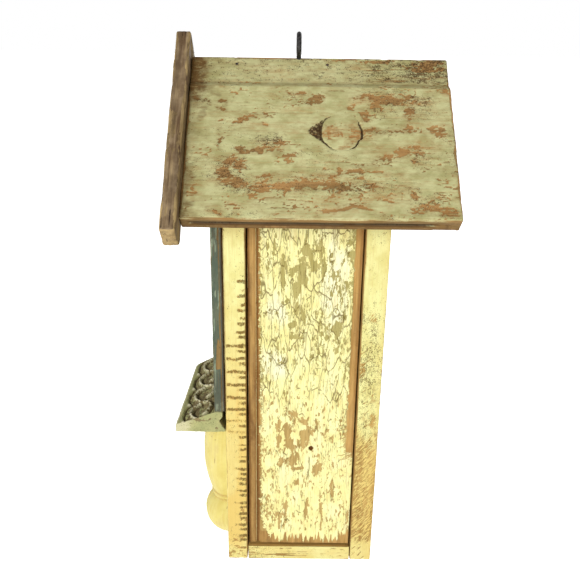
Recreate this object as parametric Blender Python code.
# Hanging nest box of reclaimed painted boards: a tall square box under a steep
# gable roof, hung from an iron screw eye in the ridge.
#
# Frame: metres, +Z up. The origin is the centre of the box's underside.
# The front, with the entrance hole and the carved ledge, faces -Y.
# The clean-out door is the side panel that faces +X. It turns on two nails.
# Every size below is in millimetres; finish() turns a shape into metres.

import math

import bmesh
import bpy
from mathutils import Matrix, Vector

MM = 0.001
COS_45 = math.sqrt(0.5)   # both roof slopes fall at 45 degrees
GAP = 0.3                 # working gap between pieces that touch

# ---- box ------------------------------------------------------------------
BOX_X = 130.0             # width of the box, side to side
BOX_Y = 137.6             # depth of the box, front to back
HALF_X, HALF_Y = BOX_X / 2, BOX_Y / 2
FRONT_T = 19.0            # front board thickness
BACK_T = 20.6             # back board thickness
FLOOR_T = 15.4            # floor board thickness
INNER_FRONT = -HALF_Y + FRONT_T               # inner faces of the two boards
INNER_BACK = HALF_Y - BACK_T
SIDE_T = 12.5             # side panels, inset between the front and the back
SIDE_INSET = 3.5          # side panels stand back from the boards' edges
SIDE_OUT = HALF_X - SIDE_INSET                # their outer face
SIDE_MID = SIDE_OUT - SIDE_T / 2              # and the middle of their thickness
SIDE_TOP = 368.0          # top of the side panels, below a vent gap
DOOR_FIT = 1.2            # open gap at each side of the door
DOOR_FOOT = 1.0           # gap between the door and the floor board
PIVOT_Z = 345.0           # the door's pivot nails

# ---- roof -----------------------------------------------------------------
APEX_Z = 461.2            # ridge line
ROOF_FRONT = -96.0
ROOF_BACK = 114.5
ROOF_LEN = 155.0          # ridge to eave, along the slope
ROOF_T = 16.0             # full thickness of the siding
ROOF_STEP = 3.0           # the strip next to the ridge is this much thinner
COVE_START = 25.5         # where the cove begins, from the ridge
COVE_END = 31.5
COVE_LIP = 0.5            # small chamfer between the cove and the flat
EAVE_EASE = 0.8           # chamfer on the eave's top edge
GROOVE_TOP = 6.4          # groove along the eave edge, below the top face
GROOVE_W = 3.4
GROOVE_DEEP = 4.5
FIELD_Z = APEX_Z + ROOF_STEP / COS_45         # both top faces meet here
UNDER_Z = FIELD_Z - ROOF_T / COS_45           # both undersides meet here
WALL_TOP = UNDER_Z - GAP / COS_45             # peak of the gables

# ---- bargeboards ----------------------------------------------------------
BARGE_T = 12.0
BARGE_UP = 11.5           # above the roof's top face
BARGE_DOWN = 18.0         # below it
BARGE_LEN = 174.0
BARGE_TOP_ROUND = 2.0     # radii at the upper and lower corners of the low end
BARGE_LOW_ROUND = 5.0
BARGE_BACK = ROOF_FRONT - GAP
BARGE_FRONT = BARGE_BACK - BARGE_T

# ---- front dressing -------------------------------------------------------
DRESS_Y = -HALF_Y - GAP   # back of every piece laid on the front board
FACE_T = 9.5              # panel over the front board
FACE_FRONT = DRESS_Y - FACE_T
FACE_FOOT = 163.0
HOLE_R = 19.0             # entrance hole
HOLE_Z = 258.0
LEDGE_Z = 142.0
LEDGE_OUT = 114.0
LEDGE_LIP = 8.0
LEDGE_LEFT = -58.0        # the ledge stops short of the left side
LEDGE_TAPER = 5.0         # and is this much narrower at that end
LEDGE_ROUND = 9.0         # its worn left corner, seen from above
LEDGE_FADE = 30.0         # taper and wear die out this far behind the front edge

SIDES = ((1, "right"), (-1, "left"))          # sign of X, name
ENDS = ((-HALF_Y, 1, "front"), (HALF_Y, -1, "back"))   # outer face, way in, name


for old in list(bpy.data.objects):
    bpy.data.objects.remove(old, do_unlink=True)

scene_objects = bpy.context.scene.collection.objects


# ---- helpers --------------------------------------------------------------
def material(name, colour, roughness, metallic=0.0):
    mat = bpy.data.materials.new(name)
    mat.use_nodes = True
    shader = next(n for n in mat.node_tree.nodes if n.type == "BSDF_PRINCIPLED")
    shader.inputs["Base Color"].default_value = (*colour, 1.0)
    shader.inputs["Roughness"].default_value = roughness
    shader.inputs["Metallic"].default_value = metallic
    mat.diffuse_color = (*colour, 1.0)
    return mat


def finish(shape, name, mat, smooth=None, origin=None, parent=None):
    """Turns a bmesh in millimetres, world coordinates, into a named object."""
    bmesh.ops.scale(shape, vec=(MM, MM, MM), verts=shape.verts)
    if origin is not None:
        bmesh.ops.translate(shape, vec=-Vector(origin) * MM, verts=shape.verts)
    bmesh.ops.recalc_face_normals(shape, faces=shape.faces)
    mesh = bpy.data.meshes.new(name)
    shape.to_mesh(mesh)
    shape.free()
    if mat is not None:
        mesh.materials.append(mat)
    if smooth is not None:
        mesh.shade_smooth()
        mesh.set_sharp_from_angle(angle=math.radians(smooth))
    obj = bpy.data.objects.new(name, mesh)
    scene_objects.link(obj)
    if origin is not None:
        obj.location = Vector(origin) * MM
    if parent is not None:
        obj.parent = parent
        obj.matrix_parent_inverse = parent.matrix_world.inverted()
    return obj


def soften(obj, width, segments=2, angle=40):
    """Bevels the arrises sharper than the angle, in degrees."""
    mod = obj.modifiers.new("arris", "BEVEL")
    mod.width = width * MM
    mod.segments = segments
    mod.limit_method = "ANGLE"
    mod.angle_limit = math.radians(angle)
    mod.harden_normals = False


def prism(outline, place, low, high):
    """A straight prism: outline points (a, b) swept from low to high."""
    shape = bmesh.new()
    face = shape.faces.new([shape.verts.new(place(a, b, low)) for a, b in outline])
    far = bmesh.ops.extrude_face_region(shape, geom=[face])
    moved = [g for g in far["geom"] if isinstance(g, bmesh.types.BMVert)]
    step = Vector(place(0, 0, high)) - Vector(place(0, 0, low))
    bmesh.ops.translate(shape, vec=step, verts=moved)
    bmesh.ops.recalc_face_normals(shape, faces=shape.faces)
    return shape


# Placers for prism(): the outline's two coordinates, then the swept one.
def along_y(x, z, y):
    return (x, y, z)


def along_x(y, z, x):
    return (x, y, z)


def along_z(x, y, z):
    return (x, y, z)


def slope(side, start=0.0):
    """Places (s, n): s down the slope, n out of the top face, swept along Y.

    s is counted from a line the start distance below the meeting of the top faces.
    """
    def place(s, n, y):
        down = start + s
        return (side * (down + n) * COS_45, y, FIELD_Z + (n - down) * COS_45)

    return place


def roof_slope(side):
    """The slope as the roof panels use it, with the thin strip starting at the ridge."""
    return slope(side, ROOF_STEP)


def skin(shape, rings, closed=True):
    """Joins each ring to the next; a ring of one vertex makes a fan."""
    for lower, upper in zip(rings, rings[1:]):
        count = max(len(lower), len(upper))
        for k in range(count if closed else count - 1):
            corners = (lower[k % len(lower)], lower[(k + 1) % len(lower)],
                       upper[(k + 1) % len(upper)], upper[k % len(upper)])
            shape.faces.new(tuple(dict.fromkeys(corners)))


def lathe(profile, segments):
    """A solid of revolution about Z from (radius, z) points; radius 0 closes an end."""
    shape = bmesh.new()
    turns = [2 * math.pi * k / segments for k in range(segments)]
    skin(shape, [
        [shape.verts.new((radius * math.cos(turn), radius * math.sin(turn), z))
         for turn in (turns if radius else [0.0])]
        for radius, z in profile])
    return shape


def aim(shape, head, direction):
    """Turns a piece drawn along -Z to point along direction from head."""
    turn = Vector((0, 0, -1)).rotation_difference(Vector(direction).normalized())
    shape.transform(Matrix.Translation(Vector(head)) @ turn.to_matrix().to_4x4())
    return shape


# Cutting shapes in millimetres, world coordinates, gathered under each board's name.
cutters = {}


def drill(board, shape):
    cutters.setdefault(board, []).append(shape)


# ---- materials ------------------------------------------------------------
YELLOW = material("yellow_paint", colour=(0.80, 0.60, 0.24), roughness=0.7)
CREAM = material("cream_paint", colour=(0.84, 0.68, 0.30), roughness=0.65)
CRACKLE = material("crackled_yellow_paint", colour=(0.74, 0.60, 0.30), roughness=0.75)
SAGE = material("sage_paint", colour=(0.44, 0.46, 0.22), roughness=0.6)
BROWN = material("dark_stained_wood", colour=(0.16, 0.085, 0.045), roughness=0.65)
BLUE = material("blue_green_paint", colour=(0.14, 0.20, 0.18), roughness=0.6)
GREEN = material("carved_green_paint", colour=(0.30, 0.36, 0.21), roughness=0.7)
IRON = material("black_iron", colour=(0.02, 0.02, 0.022), roughness=0.45, metallic=0.9)
STEEL = material("dull_nail_steel", colour=(0.10, 0.09, 0.085), roughness=0.55, metallic=0.9)


# ---- front, back and floor boards -----------------------------------------
def gable(foot):
    """Outline (x, z) as wide as the box, from the foot up to the roof's underside."""
    return [(-HALF_X, foot), (HALF_X, foot), (HALF_X, WALL_TOP - HALF_X),
            (0, WALL_TOP), (-HALF_X, WALL_TOP - HALF_X)]


soften(finish(prism(gable(0), along_y, -HALF_Y, INNER_FRONT), "front_board", YELLOW), 1.2)
soften(finish(prism(gable(0), along_y, INNER_BACK, HALF_Y), "back_board", YELLOW), 1.2)

floor_outline = [(-HALF_X, INNER_FRONT + GAP), (HALF_X, INNER_FRONT + GAP),
                 (HALF_X, INNER_BACK - GAP), (-HALF_X, INNER_BACK - GAP)]
soften(finish(prism(floor_outline, along_z, 0, FLOOR_T), "floor_board", YELLOW), 0.8)

# ---- side panel and door --------------------------------------------------
# Both are beaded boards: a bead and a quirk run down the front edge of the
# outer face, then a bevel rises to the flat of the board.
QUIRK_DEEP = 2.4          # quirk, below the flat
BEAD_MID = 3.8            # bead's centre, from the front edge
BEAD_HALF = 3.5           # half its width
BEAD_RISE = 1.9           # its height above the quirk
FLAT_START = 11.6         # where the flat begins, from the front edge
BACK_EASE = 0.8           # chamfer on the outer back edge


def beaded(side, near, far):
    """Cross-section of a side panel, as (x, y), from its front to its back edge."""
    inside, quirk, flat = SIDE_OUT - SIDE_T, SIDE_OUT - QUIRK_DEEP, near + FLAT_START
    points = [(inside, near), (inside, far), (SIDE_OUT - BACK_EASE, far),
              (SIDE_OUT, far - BACK_EASE), (SIDE_OUT, flat),
              (SIDE_OUT - 1.4, flat - 2.8), (quirk, flat - 4.0)]
    for k in range(5):
        angle = math.radians(20 + 140 * k / 4)
        points.append((quirk + BEAD_RISE * math.sin(angle),
                       near + BEAD_MID + BEAD_HALF * math.cos(angle)))
    points.append((quirk, near))
    return [(side * x, y) for x, y in points]


finish(prism(beaded(-1, INNER_FRONT + GAP, INNER_BACK - GAP), along_z,
             FLOOR_T + GAP, SIDE_TOP),
       "side_panel", CRACKLE, smooth=50)

pivot = (SIDE_MID, 0.0, PIVOT_Z)
door_axis = bpy.data.objects.new("door_axis", None)
door_axis.empty_display_size = 0.02
door_axis.location = Vector(pivot) * MM
scene_objects.link(door_axis)
bpy.context.view_layer.update()     # the door needs the axis's world matrix
finish(prism(beaded(1, INNER_FRONT + DOOR_FIT, INNER_BACK - DOOR_FIT), along_z,
             FLOOR_T + DOOR_FOOT, SIDE_TOP),
       "side_door", CRACKLE, smooth=50, origin=pivot, parent=door_axis)


# ---- roof panels ----------------------------------------------------------
def siding(start):
    """Cove siding in section, (s, n): ridge strip, cove, flat, grooved eave edge."""
    points = [(start, -ROOF_T), (start, -ROOF_STEP), (COVE_START, -ROOF_STEP)]
    for k in range(1, 5):
        angle = math.radians(90 * k / 5)
        points.append((COVE_START + (COVE_END - COVE_START) * math.sin(angle),
                       -ROOF_STEP + (ROOF_STEP - COVE_LIP) * (1 - math.cos(angle))))
    groove_foot, groove_in = -GROOVE_TOP - GROOVE_W, ROOF_LEN - GROOVE_DEEP
    return points + [
        (COVE_END, -COVE_LIP), (COVE_END + COVE_LIP, 0),
        (ROOF_LEN - EAVE_EASE, 0), (ROOF_LEN, -EAVE_EASE),
        (ROOF_LEN, -GROOVE_TOP), (groove_in, -GROOVE_TOP),
        (groove_in, groove_foot), (ROOF_LEN, groove_foot), (ROOF_LEN, -ROOF_T)]


# The right-hand panel laps over the top edge of the left-hand one.
lap = ROOF_T - ROOF_STEP
for (side, way), start in zip(SIDES, (0.0, lap + GAP)):
    finish(prism(siding(start), roof_slope(side), ROOF_FRONT, ROOF_BACK),
           f"roof_panel_{way}", SAGE, smooth=35)


# ---- bargeboards ----------------------------------------------------------
def barge_outline():
    """A bargeboard in (s, n), mitred at the ridge, its low end rounded."""
    mitre = GAP / 2 / COS_45
    points = [(mitre + BARGE_DOWN, -BARGE_DOWN), (mitre - BARGE_UP, BARGE_UP)]
    for radius, middle, first in (
            (BARGE_TOP_ROUND, BARGE_UP - BARGE_TOP_ROUND, 90),
            (BARGE_LOW_ROUND, -BARGE_DOWN + BARGE_LOW_ROUND, 0)):
        for k in range(4):
            angle = math.radians(first - 30 * k)
            points.append((BARGE_LEN - radius + radius * math.cos(angle),
                           middle + radius * math.sin(angle)))
    return points


for side, way in SIDES:
    board = finish(prism(barge_outline(), slope(side), BARGE_FRONT, BARGE_BACK),
                   f"bargeboard_{way}", BROWN, smooth=35)
    soften(board, 1.0, segments=1, angle=50)

# ---- panel over the front board -------------------------------------------
soften(finish(prism(gable(FACE_FOOT), along_y, FACE_FRONT, DRESS_Y),
              "front_face_panel", BLUE), 0.8, segments=1)


# ---- carved ledge ---------------------------------------------------------
# A length of crown moulding laid on its side: flat below, a small lip in
# front, a face that rises to the panel, and a hollow behind. Its left end
# stops short and its outer corner there is worn round.
def carved_ledge():
    rise_end = FACE_FOOT - GAP
    outline = [           # (y, z), from the foot of the lip round by the back
        (-LEDGE_OUT, LEDGE_Z), (DRESS_Y, LEDGE_Z),
        (DRESS_Y, LEDGE_Z + 2.5), (-HALF_Y - 5.5, LEDGE_Z + 11.5),
        (-HALF_Y - 2.6, LEDGE_Z + 15.5), (-HALF_Y - 2.6, rise_end),
        (FACE_FRONT - 0.2, rise_end), (-LEDGE_OUT + 1.2, LEDGE_Z + LEDGE_LIP),
        (-LEDGE_OUT, LEDGE_Z + LEDGE_LIP - 1.4)]
    shape = prism(outline, along_x, LEDGE_LEFT, HALF_X)

    # Slices across the worn corner, closer together towards the end. The cut
    # where the wear begins comes last: the order affects how faces divide.
    corner = LEDGE_LEFT + LEDGE_ROUND
    for k in (1, 2, 3, 4, 0):
        cut_x = corner - LEDGE_ROUND * (1 - (1 - k / 5) ** 2)
        bmesh.ops.bisect_plane(
            shape, geom=shape.verts[:] + shape.edges[:] + shape.faces[:],
            plane_co=(cut_x, 0, 0), plane_no=(1, 0, 0))

    # Push the front back for the taper and the wear.
    for vert in shape.verts:
        fade = max(0.0, 1 - (LEDGE_OUT + vert.co.y) / LEDGE_FADE)
        taper = LEDGE_TAPER * (HALF_X - vert.co.x) / (HALF_X - LEDGE_LEFT)
        along = min(1.0, max(0.0, corner - vert.co.x) / LEDGE_ROUND)
        wear = LEDGE_ROUND * (1 - math.sqrt(1 - along ** 2))
        vert.co.y += (taper + wear) * fade
    return shape


soften(finish(carved_ledge(), "carved_ledge", GREEN), 0.6, segments=1, angle=30)

# ---- split baluster -------------------------------------------------------
BALUSTER_TOP = LEDGE_Z - GAP
BALL_Z = 13.5             # middle of the ball at the foot
BALL_R = 27.7
BALL_HALF = 26.1          # half the ball's height
NECK_Z = 33.0             # foot of each stretch above the ball
BELLY_Z = 38.5
TAPER_Z = 77.0
FILLET_Z = 118.0
COVE_Z = 121.0
BEAD_Z = 127.5
NECK_R = 19.4
BELLY_FOOT_R = 20.2
BELLY_R = 27.5            # the widest part of the vase
FILLET_R = 24.4
BEAD_R = 25.8
SHARP_STEP = 0.02         # height over which a step in radius is drawn
BALUSTER_TURNS = 16       # segments round the half turn


def baluster_profile():
    """Points (radius, z) from the foot up: ball, neck, vase, cove and top bead."""
    ball = [BALL_Z - BALL_HALF + SHARP_STEP]
    ball += [BALL_Z - BALL_HALF * math.cos(math.radians(a)) for a in range(12, 139, 9)]
    points = [(BALL_R * math.sqrt(1 - ((z - BALL_Z) / BALL_HALF) ** 2), z) for z in ball]
    for z in (NECK_Z + SHARP_STEP, 35.8, BELLY_Z):
        t = (z - NECK_Z) / (BELLY_Z - NECK_Z)
        points.append((NECK_R + 1.5 * math.sin(math.pi * t), z))
    for k in range(1, 8):
        swell = (BELLY_R - BELLY_FOOT_R) * math.sin(k / 7 * math.pi / 2)
        points.append((BELLY_FOOT_R + swell, BELLY_Z + (TAPER_Z - BELLY_Z) * k / 7))
    for k in range(1, 7):
        points.append((BELLY_R - 4.7 * (k / 6) ** 3, TAPER_Z + (FILLET_Z - TAPER_Z) * k / 6))
    points += [(FILLET_R, FILLET_Z + SHARP_STEP), (FILLET_R, COVE_Z)]
    for z in (123.2, 125.4, BEAD_Z):
        t = (z - COVE_Z) / (BEAD_Z - COVE_Z)
        points.append((FILLET_R - 2.6 * math.sin(math.pi * t) + (BEAD_R - FILLET_R) * t, z))
    for k in range(1, 7):
        points.append((BEAD_R + 3.0 * math.sin(math.pi * k / 6),
                       BEAD_Z + (BALUSTER_TOP - BEAD_Z) * k / 6))
    return points


def split_baluster():
    """A turned baluster sawn in half; the sawn face lies on the front board."""
    shape = bmesh.new()
    turns = [math.pi * k / BALUSTER_TURNS for k in range(BALUSTER_TURNS + 1)]
    rings = [[shape.verts.new((radius * math.cos(turn), DRESS_Y - radius * math.sin(turn), z))
              for turn in turns]
             for radius, z in baluster_profile()]
    skin(shape, rings, closed=False)
    shape.faces.new(rings[0])
    shape.faces.new(rings[-1])
    shape.faces.new([ring[0] for ring in rings] + [ring[-1] for ring in reversed(rings)])
    return shape


finish(split_baluster(), "split_baluster", CREAM, smooth=35)

# ---- screw eye ------------------------------------------------------------
EYE_Y = -8.0
EYE_R = 8.0               # ring, to the middle of the wire
EYE_WIRE = 2.0            # radius of the wire
EYE_Z = APEX_Z + 10.4     # centre of the ring
EYE_TIP_Z = APEX_Z - 24.0
EYE_POINT = 6.0           # length of the tapered point
EYE_TIP = 0.35            # radius at the tip, as a share of the wire's
EYE_NECK_Z = EYE_Z - EYE_R - 2.6              # where the shank bends to the ring
EYE_START = math.radians(-48)                 # where the ring begins
EYE_SWEEP = math.radians(288)
EYE_HOLE_TOP = APEX_Z + 6.0                   # top of the cutter for the shank


def shank_path(top, grow=0.0):
    """Path points (x, z) up the straight shank."""
    return [(0, EYE_TIP_Z - grow), (0, EYE_TIP_Z + EYE_POINT), (0, top)]


def eye_path():
    """Path points (x, z) up the shank, through a bend and round the ring."""
    path = shank_path(EYE_NECK_Z)
    ring_x = EYE_R * math.cos(EYE_START)
    ring_z = EYE_Z + EYE_R * math.sin(EYE_START)
    bend_x, bend_z = 0.9, EYE_NECK_Z + 2.1    # control point of the bend
    for k in range(1, 5):
        t = k / 4
        path.append((2 * t * (1 - t) * bend_x + t * t * ring_x,
                     (1 - t) ** 2 * EYE_NECK_Z + 2 * t * (1 - t) * bend_z + t * t * ring_z))
    for k in range(1, 25):
        angle = EYE_START + EYE_SWEEP * k / 24
        path.append((EYE_R * math.cos(angle), EYE_Z + EYE_R * math.sin(angle)))
    return path


def pointed_wire(path, radius):
    """A wire along a path in the plane Y = EYE_Y, narrowed at its first point."""
    sides = 12
    shape = bmesh.new()
    rings = []
    for i, (x, z) in enumerate(path):
        before, after = path[max(0, i - 1)], path[min(len(path) - 1, i + 1)]
        run_x, run_z = after[0] - before[0], after[1] - before[1]
        length = math.hypot(run_x, run_z)
        size = radius if i else EYE_TIP * radius
        ring = []
        for k in range(sides):
            turn = 2 * math.pi * k / sides
            across = size * math.cos(turn) / length
            ring.append(shape.verts.new((x - across * run_z, EYE_Y + size * math.sin(turn),
                                         z + across * run_x)))
        rings.append(ring)
    skin(shape, rings)
    shape.faces.new(rings[0])
    shape.faces.new(rings[-1])
    return shape


finish(pointed_wire(eye_path(), EYE_WIRE), "screw_eye", IRON, smooth=50)
for _, way in SIDES:
    drill(f"roof_panel_{way}", pointed_wire(shank_path(EYE_HOLE_TOP, GAP), EYE_WIRE + GAP))

# ---- entrance hole --------------------------------------------------------
HOLE_AHEAD, HOLE_BEHIND = 15, 45    # reach of the cutter from the panel's face
for board in ("front_board", "front_face_panel"):
    hole = lathe([(0, HOLE_AHEAD), (HOLE_R, HOLE_AHEAD),
                  (HOLE_R, -HOLE_BEHIND), (0, -HOLE_BEHIND)], 32)
    drill(board, aim(hole, (0, FACE_FRONT, HOLE_Z), (0, 1, 0)))

# ---- nails ----------------------------------------------------------------
NAIL_R = 1.2
NAIL_HEAD = 2.5           # head radius
NAIL_HEAD_T = 1.2
NAIL_LEN = 38.0
NAIL_POINT = 3.2          # length of the point, in nail radii
NAIL_TIP = 0.25           # radius at the tip, in nail radii
NAIL_SEGMENTS = 12
BRAD_R = 0.8
BRAD_HEAD = 1.6
BRAD_LEN = 18.0
SUNK = 0.4                # nail heads lie this far below the face
PIVOT_FIT = 0.2           # running clearance round a pivot nail
CUT_LIFT = 3.0            # a pilot cutter rises this far above the head


def nail_shape(radius, head, length, grow=0.0, lift=0.0):
    """A nail along -Z; grow and lift enlarge it into a pilot cutter."""
    return lathe([
        (0, lift), (head + grow, lift), (head + grow, -NAIL_HEAD_T - grow),
        (radius + grow, -NAIL_HEAD_T - grow),
        (radius + grow, -length + NAIL_POINT * radius),
        (NAIL_TIP * radius + grow, -length - grow), (0, -length - grow)], NAIL_SEGMENTS)


def nail(name, face, direction, outer, inner, radius=NAIL_R, head=NAIL_HEAD,
         length=NAIL_LEN, inner_fit=GAP):
    """A nail sunk at the face point, through the outer piece into the inner one."""
    way_in = Vector(direction).normalized()
    top = Vector(face) + way_in * SUNK
    finish(aim(nail_shape(radius, head, length), top, way_in), name, STEEL, smooth=35)
    for board, fit in ((outer, GAP), (inner, inner_fit)):
        drill(board, aim(nail_shape(radius, head, length, fit, CUT_LIFT), top, way_in))


# Two pivot nails carry the door, one through each board.
for y, inward, end in ENDS:
    nail(f"door_pivot_nail_{end}", (SIDE_MID, y, PIVOT_Z), (0, inward, 0),
         f"{end}_board", "side_door", inner_fit=PIVOT_FIT)

# Two nails through the lapping roof panel into the other panel's top edge.
for place, y in (("front", -58.9), ("middle", 15.6)):
    nail(f"ridge_nail_{place}", roof_slope(1)(7.0, -ROOF_STEP, y), (-COS_45, 0, -COS_45),
         "roof_panel_right", "roof_panel_left", length=34.0)

# Four nails hold the roof panels down on the gables.
for side, way in SIDES:
    for end, y in (("front", -58.5), ("back", 58.0)):
        nail(f"roof_nail_{way}_{end}", roof_slope(side)(62.0, 0.0, y),
             (-side * COS_45, 0, -COS_45), f"roof_panel_{way}", f"{end}_board")

# Four nails hold the bargeboards to the front ends of the roof panels.
BARGE_NAIL_N = -8.5       # below the roof's top face
for side, way in SIDES:
    for level, s in (("top", 45.0), ("bottom", 122.0)):
        nail(f"barge_nail_{way}_{level}", slope(side)(s, BARGE_NAIL_N, BARGE_FRONT),
             (0, 1, 0), f"bargeboard_{way}", f"roof_panel_{way}")

# The floor and the fixed side panel are nailed through both boards.
for y, inward, end in ENDS:
    for side, way in SIDES:
        nail(f"floor_nail_{end}_{way}", (side * 46.0, y, FLOOR_T / 2), (0, inward, 0),
             f"{end}_board", "floor_board")
    for level, z in (("top", 320.0), ("bottom", 60.0)):
        nail(f"side_nail_{end}_{level}", (-SIDE_MID, y, z), (0, inward, 0),
             f"{end}_board", "side_panel")

# The ledge and the baluster are nailed from inside the box.
for side, way in SIDES:
    nail(f"ledge_nail_{way}", (side * 38.0, INNER_FRONT, 149.5), (0, -1, 0),
         "front_board", "carved_ledge", length=44.0)
for level, z in (("top", 104.0), ("bottom", 58.0)):
    nail(f"baluster_nail_{level}", (0, INNER_FRONT, z), (0, -1, 0),
         "front_board", "split_baluster", length=40.0)

# Four brads hold the thin panel to the front board.
for side, way in SIDES:
    for level, z in (("top", 352.0), ("bottom", 182.0)):
        nail(f"face_brad_{way}_{level}", (side * 46.0, FACE_FRONT, z), (0, 1, 0),
             "front_face_panel", "front_board",
             radius=BRAD_R, head=BRAD_HEAD, length=BRAD_LEN)

# ---- cut every hole -------------------------------------------------------
for board, shapes in cutters.items():
    joined = bmesh.new()
    for shape in shapes:
        part = bpy.data.meshes.new("hole")
        shape.to_mesh(part)
        shape.free()
        joined.from_mesh(part)
        bpy.data.meshes.remove(part)
    tool = finish(joined, f"holes_{board}", None)
    tool.hide_render = True
    tool.display_type = "WIRE"
    cut = bpy.data.objects[board].modifiers.new("holes", "BOOLEAN")
    cut.operation = "DIFFERENCE"
    cut.solver = "EXACT"
    cut.object = tool
